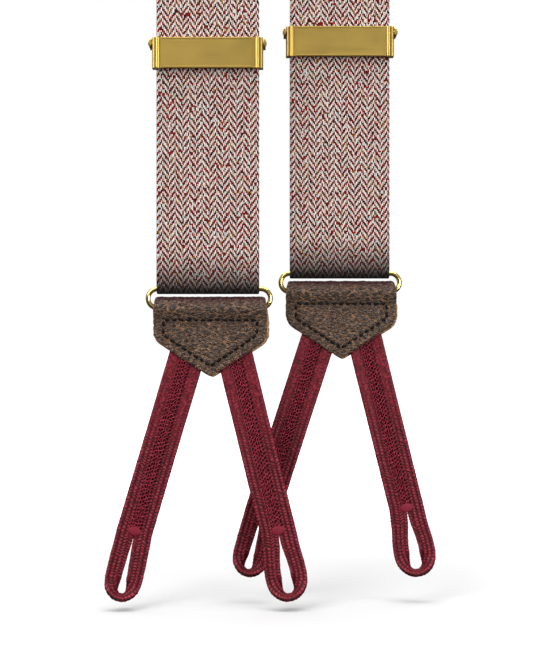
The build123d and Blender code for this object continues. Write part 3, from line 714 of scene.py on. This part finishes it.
def plait(length, loop):
    """The tape's rings of points and how high each stands, for its colour, lowered under the cover threads as
    painted shade. The braid is closer near the leather.
    """
    middle, wide, face = tape_frames(length, loop)
    outline = tape_outline()
    round_it = path_lengths(np.concatenate([outline, outline[:1]]))
    perimeter, round_it = round_it[-1], round_it[:-1]
    along = path_lengths(middle)
    relief = stitch_relief(along, round_it, perimeter, length)
    from_top = np.minimum(along, along[-1] - along)
    speck = scatter(np.floor(along / SPECK)[:, None] * 39.346 + np.floor(round_it / SPECK)[None, :] * 11.135)
    knit = 0.75 * (1 - smooth_step((from_top - 18) / 30))[:, None]
    relief = relief * (1 - knit) + (0.25 + 0.65 * speck) * knit
    normal = unit(np.stack([
        np.roll(outline[:, 1], -1) - np.roll(outline[:, 1], 1),
        np.roll(outline[:, 0], 1) - np.roll(outline[:, 0], -1),
    ], -1))
    fullness = 0.6 + 0.4 * smooth_step((from_top - 22) / 40)
    lift = RIDGE_HEIGHT * relief * fullness[:, None]
    spread = outline[None] + normal[None] * lift[..., None]
    rings = middle[:, None] + spread[..., :1] * wide[:, None] + spread[..., 1:] * face[:, None]
    # Under the cover threads the braid's colour gets painted shade.
    covered = (np.abs(rings[..., 0]) < COVER_HALF_WIDTH) & (rings[..., 2] > 1 - length)
    return rings, np.where(covered, 0.4 * relief, relief)


def bend_loop(points, length, lean):
    """Turns what is below the bar tack a little back towards vertical, gradually."""
    bend = math.radians(-LOOP_BEND if lean > 0 else LOOP_BEND)
    angle = bend * smooth_step((-points[..., 2] - length + LOOP_BEND_ABOVE) / LOOP_BEND_HEIGHT)
    x, z = points[..., 0], points[..., 2] + length
    turned = points.copy()
    turned[..., 0] = x * np.cos(angle) + z * np.sin(angle)
    turned[..., 2] = -x * np.sin(angle) + z * np.cos(angle) - length
    return turned


class Tab:
    """A tab's place: the frame that its hinge gives."""

    def __init__(self, body, end_body):
        self.body, self.end_body = body, end_body
        self.hinge, axis = joint_place(f"{body}_swing")
        self.lean = math.degrees(math.atan2(-axis[2], axis[0]))
        self.across, self.up = axis, np.array([-axis[2], 0.0, axis[0]])
        self.length = tab_length(self.lean)

    def place(self, points):
        """The tab's own points where they are on the object."""
        points = bend_loop(np.asarray(points, float), self.length, self.lean)
        lifted = points[..., 2:] - HINGE_ABOVE_TIP
        back = points[..., 1:2] * np.array([0, 1.0, 0])
        return self.hinge + points[..., :1] * self.across + back + lifted * self.up

    def bend(self, piece):
        """Bakes the piece's place into its mesh."""
        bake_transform(piece)


def cover_threads(length, face, picks):
    """Squiggles of thread, side by side over the seam between the legs."""
    z = np.arange(COVER_TOP, COVER_BOTTOM - length, -COVER_STEP)
    parts = []
    for lane in COVER_LANES:
        drift = np.cumsum([picks.uniform(-0.5, 0.5) for _ in z])
        turn = 2 * math.pi * (z / COVER_PITCH + picks.random()) + drift
        x = lane + COVER_SWING * np.sin(turn)
        y = face * (COVER_DEPTH + COVER_RISE * np.cos(turn + 1.2))
        parts.append(tube(trace(x, y, z + 2 * COVER_RISE * np.cos(turn)), COVER_THREAD, 5, 0.9))
    return parts


def bar_tack(length, face):
    """A dome of close thread that lies across the seam."""
    up = np.linspace(-1, 1, TACK_ROWS)
    turn = np.linspace(0, 2 * math.pi, TACK_AROUND, endpoint=False)
    narrowing = np.sqrt(np.clip(1 - up ** 2, 0.003, 1))
    threads = 0.05 * np.cos(np.arange(TACK_ROWS) * math.pi)
    height = (TACK_BULGE + threads) * narrowing ** 0.7
    rings = np.zeros((TACK_ROWS, TACK_AROUND, 3))
    rings[..., 0] = TACK_HALF_WIDTH * narrowing[:, None] * np.cos(turn)
    rings[..., 1] = face * 0.95 + height[:, None] * np.sin(turn) * 0.9
    rings[..., 2] = up[:, None] * TACK_HALF_HEIGHT - length
    return skin(rings)


def build_tab(body, end_body, name, roots=()):
    """A braided tab, the stitches that join its legs, and its bar tack."""
    tab = Tab(body, end_body)
    picks = random.Random(f"{SEED}{name}")
    rings, relief = plait(tab.length, LOOPS.get(name, CLOSE_LOOP))
    points, faces = skin(tab.place(rings))
    braid = add_mesh(f"{name}_plait", points, faces, BRAID, {"relief": relief.ravel()})
    tab.bend(braid)
    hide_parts(f"{name}_braid", *roots)

    points, faces = join([part for face in (-1, 1) for part in cover_threads(tab.length, face, picks)])
    patchy = np.array([noise.noise(Vector((float(x), float(z), 0.0)) * 0.9) for x, _, z in points])
    # Threads that lie deeper get painted shade, from how far out they stand; the patchy part is a random tone.
    relief = np.clip((np.abs(points[:, 1]) - COVER_DEPTH + 0.3) / 0.6, 0, 1) * 0.85 + 0.4 * patchy
    cover = add_mesh(f"{name}_cover_threads", tab.place(points), faces, BRAID_THREAD, {"relief": relief})
    tab.bend(cover)
    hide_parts(f"{name}_cover_stitch")

    points, faces = join([bar_tack(tab.length, face) for face in (-1, 1)])
    relief = np.full(len(points), 0.66)
    tack = add_mesh(f"{name}_tack_threads", tab.place(points), faces, BRAID_THREAD, {"relief": relief})
    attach(tack, body)
    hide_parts(f"{name}_bar_tack")


# Leather. Outlines are half widths, or x, at a drop: a distance below the leather's top edge.

HIDE_THICK = 1.5
HIDE_COLUMNS = 96
PLATE_ROWS = 130
END_HEIGHT = 29.7
END_HALF_WIDTH = 20.95
END_TOP_HALF_WIDTH = 20.2
END_SIDE = 16.1
END_CORNER_RADIUS = 6.0
END_TIP_RADIUS = 1.4
PANEL_OUTER = 2.6
ROLL_RADIUS = 4.2
PINCH_DROP = 4.1
BACK_PANEL_SLIP = 0.75
BACK_PANEL_LOWER = 0.45
SEAM_INSET = 3.7
SEAM_SIDE = 14.3
SEAM_TIP = END_HEIGHT - 4.0
BACK_END_SEAM_TOP = 4.0
GRAIN = 0.4
FURROW_DEPTH = 0.28
FURROW_HALF_WIDTH = 0.6
STITCH_SPACING = 2.75
STITCH_LENGTH = 1.15
STITCH_RADIUS = 0.45
STITCH_DIP = 0.45
YOKE_RIM = [
    (35.5, 0.0), (35.5, 7.0), (34.6, 14.0), (31.6, 32.6),
    (30.6, 36.0), (21.4, 48.6), (18.6, 51.6), (0.02, 68.2),
]
YOKE_SEAM = [(32.2, 3.4), (32.2, 7.6), (28.4, 32.4), (18.2, 47.2), (0.0, 63.6)]


def rounded_corner(start, corner, end, radius):
    """A fillet between two straight lines."""
    start, corner, end = (np.array(p, float) for p in (start, corner, end))
    a, b = unit(start - corner), unit(end - corner)
    half = math.acos(float(np.clip(a @ b, -1, 1))) / 2
    reach = radius / math.tan(half)
    centre = corner + unit(a + b) * radius / math.sin(half)
    first, last = corner + a * reach - centre, corner + b * reach - centre
    spots = np.linspace(0, 1, 10)[:, None]
    return centre + unit(first * (1 - spots) + last * spots) * radius


def end_rim():
    """Half the leather end's width and the drop, from its top edge to its tip."""
    start, corner, tip = (END_HALF_WIDTH, -5), (END_HALF_WIDTH, -END_SIDE), (0.0, -END_HEIGHT)
    curve = rounded_corner(start, corner, tip, END_CORNER_RADIUS)
    nose = rounded_corner(corner, tip, (-END_HALF_WIDTH, -END_SIDE), END_TIP_RADIUS)
    nose = nose[nose[:, 0] >= 0]
    rim = np.concatenate([[(END_TOP_HALF_WIDTH, 0), start], curve, nose, [(0.02, nose[-1][1])]])
    return rim * [1, -1]


def both_sides(half_seam):
    """A whole seam from its right half, which ends on the middle line."""
    return [*half_seam, *[(-x, drop) for x, drop in half_seam[-2::-1]]]


def end_seam(top):
    """The corners of a leather end's seam, whose top row is at a drop."""
    half = END_HALF_WIDTH - SEAM_INSET
    return both_sides([(half, top), (half, SEAM_SIDE), (0.0, SEAM_TIP)])


def seam_distance(x, drop, corners):
    """How far points are from a closed seam."""
    best = np.full(x.shape, 1e9)
    spots = np.stack([x, drop], -1)
    for a, b in zip(corners, [*corners[1:], corners[0]]):
        a, b = np.array(a), np.array(b)
        t = np.clip((spots - a) @ (b - a) / ((b - a) @ (b - a)), 0, 1)
        best = np.minimum(best, np.linalg.norm(spots - (a + t[..., None] * (b - a)), axis=-1))
    return best


def hide_rings(x_middle, line, outward, drops, rim, seam, slip=0.0):
    """Rings of a strip of hide about a line of (y, z) points, each ring from one edge to the other and back.

    Returns the rings, their hide coordinates, and how far each point is a raw edge and in the seam's furrow.
    """
    half_widths = np.interp(drops, rim[:, 1], rim[:, 0])
    ragged = np.array([noise.noise(Vector((0.0, 0.8 * float(drop), x_middle))) for drop in drops])
    half_widths = half_widths + 0.25 * ragged * (half_widths > 1.5)
    even = np.linspace(-1, 1, HIDE_COLUMNS)
    t = np.sin(even * math.pi / 2) * 0.35 + even * 0.65
    side = np.ones(HIDE_COLUMNS)
    across = np.concatenate([t, [1.0], t[::-1], [-1.0]])
    depth = np.concatenate([side, [0.0], -side, [0.0]])
    raw = np.concatenate([0 * side, [1.0], side, [1.0]])
    raw[[0, HIDE_COLUMNS - 1]] = 0.3
    bulge = np.where(depth == 0, 0.12, 0.0)
    x = half_widths[:, None] * across[None, :] + np.sign(across)[None, :] * bulge[None, :]
    rounding = 0.3 * np.clip(1 - (half_widths[:, None] - np.abs(x)) / 1.2, 0, 1) ** 2
    drop = np.repeat(drops[:, None], len(across), 1)
    furrow = np.exp(-((seam_distance(x, drop, seam) / FURROW_HALF_WIDTH) ** 2))
    inset = np.where(depth[None, :] > 0, rounding + FURROW_DEPTH * furrow, rounding)
    lift = depth[None, :] * (HIDE_THICK / 2 - inset)
    along = path_lengths(line)
    for i in range(len(line)):
        for k in range(HIDE_COLUMNS):
            at = Vector((x[i, k] * GRAIN, along[i] * GRAIN, x_middle))
            lift[i, k] += 0.12 * noise.noise(at) + 0.17 * noise.noise(at * 2.3)
    slip = np.broadcast_to(slip, len(line))
    y, z = line[:, :1] + lift * outward[:, :1], line[:, 1:] + lift * outward[:, 1:]
    rings = trace(x_middle + slip[:, None] + x, y, z)
    coordinates = trace(x + x_middle, along[:, None], 0.0)
    return rings, coordinates, np.repeat(raw[None, :], len(line), 0), furrow


def seam_threads(corners, place, jitter):
    """Short threads along a closed seam, which dip in at their ends.

    place turns an x, a drop and how far a thread stands out there into a point.
    """
    corners = [np.array(corner, float) for corner in (*corners, corners[0])]
    parts = []
    for a, b in zip(corners, corners[1:]):
        span = float(np.linalg.norm(b - a))
        count = max(1, round(span / STITCH_SPACING))
        for n in range(count):
            middle = a + (b - a) * (n + 0.5) / count
            angle = jitter.uniform(-0.12, 0.12)
            cos, sin = math.cos(angle), math.sin(angle)
            way = np.array([[cos, -sin], [sin, cos]]) @ (b - a) / span
            spots = np.linspace(-0.5, 0.5, 7) * STITCH_LENGTH * jitter.uniform(0.88, 1.08)
            dips = -STITCH_DIP * (2 * spots / STITCH_LENGTH) ** 4
            points = [place(*(middle + way * spot), dip) for spot, dip in zip(spots, dips)]
            parts.append(tube(points, STITCH_RADIUS * jitter.uniform(0.9, 1.1), 8))
    return parts


def sew(name, node, body, seam, depths, x_middle, top, jitter):
    """Black threads along a seam, on each face at its depth, in place of a CAD node."""
    parts = []
    for face, depth in depths.items():
        def place(x, drop, dip, face=face, depth=depth):
            return (x_middle + x, depth + face * dip, top - drop)
        parts += seam_threads(seam, place, jitter)
    points, faces = join(parts)
    threads = add_mesh(name, points, faces, BLACK_THREAD)
    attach(threads, body)
    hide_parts(node)


def roll_line(front, nose):
    """The middle of the hide round the roll as (y, z) points, from the front tip over the bar to the back tip."""
    middle = PANEL_OUTER - HIDE_THICK / 2
    radius = ROLL_RADIUS - HIDE_THICK / 2
    bar = front.lower_bar
    panel = [(middle, front.leather_top - drop) for drop in (nose, 9.6, 8.6)]
    neck = [(middle + 0.10, bar - PINCH_DROP + 0.2), (middle + 0.75, bar - 2.6), (radius - 0.12, bar - 1.0)]
    arc = [(radius * math.cos(a), bar + radius * math.sin(a)) for a in np.linspace(0, math.pi / 2, 9)]
    half = resample(panel + neck + arc, 110)
    for _ in range(6):
        half[1:-1] = (half[:-2] + 2 * half[1:-1] + half[2:]) / 4
    line = np.concatenate([half * [-1, 1], half[-2::-1]])
    line[:, 0] += front.plane
    return line


def build_front_end(front):
    """The leather end: hide from the front tip, up over the roll and down to the back tip."""
    name = front.name
    seam = end_seam(front.leather_top - front.lower_bar + PINCH_DROP + 0.4)
    rim = end_rim()
    line = roll_line(front, rim[-1][1])
    drops = front.leather_top - line[:, 1]
    way = unit(np.gradient(line, axis=0))
    outward = np.stack([-way[:, 1], way[:, 0]], -1)
    past_crown = np.arange(len(line)) - len(line) / 2
    back = smooth_step((past_crown - 10) / 30)
    line[:, 1] -= BACK_PANEL_LOWER * back
    slip = BACK_PANEL_SLIP * back
    rings, coordinates, raw, furrow = hide_rings(front.end_x, line, outward, drops, rim, seam, slip)
    # How much painted maroon shade lies on the top of the roll, from 0 to 1.
    roll_shade = smooth_step(1.2 - np.abs(past_crown + 4) / 13)[:, None] * np.ones_like(raw)
    wear = np.stack([raw, roll_shade * (raw < 0.3), furrow], -1)
    points, faces = skin(rings)
    fields = {"hide": coordinates.reshape(-1, 3), "wear": wear.reshape(-1, 3)}
    hide = add_mesh(f"{name}_hide", points, faces, HIDE, fields)
    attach(hide, f"{name}_end")
    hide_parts(f"{name}_leather_end")

    jitter = random.Random(f"{SEED}{name}stitches")
    depths = {face: front.plane + face * (PANEL_OUTER - 0.05) for face in (-1, 1)}
    sew(
        f"{name}_end_threads", f"{name}_leather_stitching", f"{name}_end",
        seam, depths, front.end_x, front.leather_top, jitter,
    )


def flat_hide(node, body, face, rim, seam):
    """A flat patch of hide in place of a CAD plate. face is the plate's outer side, along Y."""
    low, high = box(node)
    drops = np.linspace(0.0, rim[-1][1], PLATE_ROWS)
    line = np.stack([np.full(PLATE_ROWS, (low[1] + high[1]) / 2), high[2] - drops], -1)
    outward = np.tile([float(face), 0.0], (PLATE_ROWS, 1))
    rings, coordinates, raw, furrow = hide_rings(0.0, line, outward, drops, rim, seam)
    wear = np.stack([raw, np.zeros_like(raw), furrow], -1)
    wear[:2, :, 0] = wear[-1:, :, 0] = 1.0
    points, faces = skin(rings)
    fields = {"hide": coordinates.reshape(-1, 3), "wear": wear.reshape(-1, 3)}
    patch = add_mesh(f"{node}_hide", points, faces, HIDE, fields)
    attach(patch, body)
    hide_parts(node)


def build_patches(name, outer, inner, body, rim, seam, jitter):
    """Two flat patches of hide, back to back, and the threads through them."""
    for node, face in ((outer, 1), (inner, -1)):
        flat_hide(node, body, face, rim, seam)
    high = box(outer)[1]
    depths = {1: high[1] - 0.1, -1: box(inner)[0][1] + 0.1}
    sew(f"{name}_threads", f"{name}_stitching", body, seam, depths, 0.0, high[2], jitter)


def build_elastic():
    """The elastic between the yoke and the back end."""
    low, high = box("back_elastic")
    middle = (low[1] + high[1]) / 2
    half_width, half_thick = (high[0] - low[0]) / 2, (high[1] - low[1]) / 2
    path = trace(0.0, middle, levels(high[2], low[2]))
    elastic, along = ribbon("back_elastic_band", path, half_width, half_thick, ELASTIC)
    yoke_low, end_high = box("yoke_outer")[0], box("back_end_outer")[1]
    start, end = (0, middle * MM, yoke_low[2] * MM), (0, middle * MM, end_high[2] * MM)
    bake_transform(elastic)
    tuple(start)
    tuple(end)
    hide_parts("back_elastic")


def build_back():
    """The yoke, the elastic and the back end."""
    jitter = random.Random(f"{SEED}back")
    seam = both_sides(YOKE_SEAM)
    build_patches("yoke", "yoke_outer", "yoke_inner", "root", np.array(YOKE_RIM), seam, jitter)
    build_elastic()
    seam = end_seam(BACK_END_SEAM_TOP)
    build_patches("back_end", "back_end_outer", "back_end_inner", "back_end", end_rim(), seam, jitter)


# Brass and other CAD nodes that keep their shape

FINISHES = {
    "_adjuster_": ADJUSTER_BRASS, "_ring": RING_BRASS, "_lining": LINING, "_tail_stitching": BURGUNDY_SEAM,
}


def finish_nodes():
    for name, node in frame["nodes"].items():
        for part, material in FINISHES.items():
            if part in name:
                node.data.materials.clear()
                node.data.materials.append(material)


# Stage

CAMERA_X = -3.1
CAMERA_Z = -603.5
CAMERA_DISTANCE = 455.0
VIEW_HALF_HEIGHT = 123.6

# The lights and the floor are in metres.
TARGET = (0.0, 0.0, CAMERA_Z * MM)
LIGHTS = (
    # name, place, target, size, power
    ("key", (-0.8, -1.0, 0.1), TARGET, (0.8, 0.8), 11.5),
    ("fill", (0.75, -1.2, -0.6), TARGET, (0.5, 0.5), 13.5),
    ("overhead", (0.0, -0.05, 0.5), (0.0, -0.02, -0.7), (1.6, 0.7), 17),
)
FLOOR_GAP = 0.0035
FLOOR_REACH = 6.0
FLOOR_GLOW = 0.08
FLOOR_GLOW_NEAR = 0.06
FLOOR_GLOW_FAR = 0.36
# The world's strength, against the height that a ray looks up or down to.
SKY = {"From Min": -0.5, "From Max": 0.9, "To Min": 0.04, "To Max": 0.42}


def floor_material():
    """Pale grey near the object, where the shadows are, and glowing white further away."""
    g = Graph("pale_floor", Roughness=0.9, Specular_IOR_Level=0.2)
    where = g.node("TexCoord").outputs["Object"]
    g.colour(g.mix(g.noise(where, 3.0), (0.66, 0.66, 0.66), (0.68, 0.68, 0.68)))
    away = g.node("VectorMath", {0: where, 1: (1.0, 1.0, 0.0)}, operation="MULTIPLY").outputs["Vector"]
    distance = g.node("VectorMath", {0: away}, operation="LENGTH").outputs["Value"]
    g.feed(g.shader.inputs["Emission Color"], (1, 1, 1, 1))
    glow = g.span(distance, FLOOR_GLOW_NEAR, FLOOR_GLOW_FAR, FLOOR_GLOW, 1.0)
    g.feed(g.shader.inputs["Emission Strength"], glow)
    return g.material


def build_floor():
    """A pale floor just under the loops, which lights nothing."""
    level = cad_box[0][2] - FLOOR_GAP
    corners = [(x * FLOOR_REACH, y * FLOOR_REACH, level) for x, y in ((-1, -1), (1, -1), (1, 1), (-1, 1))]
    mesh = bpy.data.meshes.new("floor")
    mesh.from_pydata(corners, [], [(0, 1, 2, 3)])
    mesh.materials.append(floor_material())
    floor = bpy.data.objects.new("floor", mesh)
    bpy.context.scene.collection.objects.link(floor)
    floor.visible_diffuse = floor.visible_glossy = False


def build_world():
    """White to the camera. What lights the object is dim, and brighter from above."""
    world = bpy.data.worlds.new("studio")
    world.use_nodes = True
    nodes, links = world.node_tree.nodes, world.node_tree.links
    direction, split = nodes.new("ShaderNodeTexCoord"), nodes.new("ShaderNodeSeparateXYZ")
    links.new(direction.outputs["Generated"], split.inputs[0])
    sky = nodes.new("ShaderNodeMapRange")
    sky.interpolation_type = "SMOOTHSTEP"
    links.new(split.outputs["Z"], sky.inputs["Value"])
    for key, value in SKY.items():
        sky.inputs[key].default_value = value
    strength = nodes.new("ShaderNodeMath")
    strength.operation = "MAXIMUM"
    links.new(sky.outputs["Result"], strength.inputs[0])
    links.new(nodes.new("ShaderNodeLightPath").outputs["Is Camera Ray"], strength.inputs[1])
    background = nodes["Background"]
    background.inputs["Color"].default_value = (1, 1, 1, 1)
    links.new(strength.outputs[0], background.inputs["Strength"])
    bpy.context.scene.world = world


def build_camera():
    """Level with the leather ends and square to the fronts."""
    lens = bpy.data.cameras.new("camera")
    lens.sensor_fit = "VERTICAL"
    lens.angle_y = 2 * math.atan(VIEW_HALF_HEIGHT / CAMERA_DISTANCE)
    camera = bpy.data.objects.new("camera", lens)
    plane = joint_place("left_ring_hinge")[0][1]
    camera.location = (CAMERA_X * MM, (plane - CAMERA_DISTANCE) * MM, CAMERA_Z * MM)
    camera.rotation_euler = (math.pi / 2, 0, 0)
    bpy.context.scene.collection.objects.link(camera)
    bpy.context.scene.camera = camera


def build_lights():
    for name, place, target, size, power in LIGHTS:
        light = bpy.data.lights.new(name, "AREA")
        light.shape = "RECTANGLE"
        light.size, light.size_y = size
        light.energy = power
        lamp = bpy.data.objects.new(name, light)
        lamp.location = Vector(place)
        lamp.rotation_euler = (Vector(target) - lamp.location).to_track_quat("-Z", "Y").to_euler()
        bpy.context.scene.collection.objects.link(lamp)


for side in ("left", "right"):
    front = Front(side)
    build_straps(front)
    build_front_end(front)
    build_tab(f"{side}_outer_tab", f"{side}_end", f"{side}_outer", [f"{side}_braid_roots"])
    build_tab(f"{side}_inner_tab", f"{side}_end", f"{side}_inner")
build_back()
build_tab("back_left_tab", "back_end", "back_left", ["back_braid_roots"])
build_tab("back_right_tab", "back_end", "back_right")
finish_nodes()
build_floor()
build_world()
build_camera()
build_lights()
bpy.context.scene.view_settings.view_transform = "Standard"
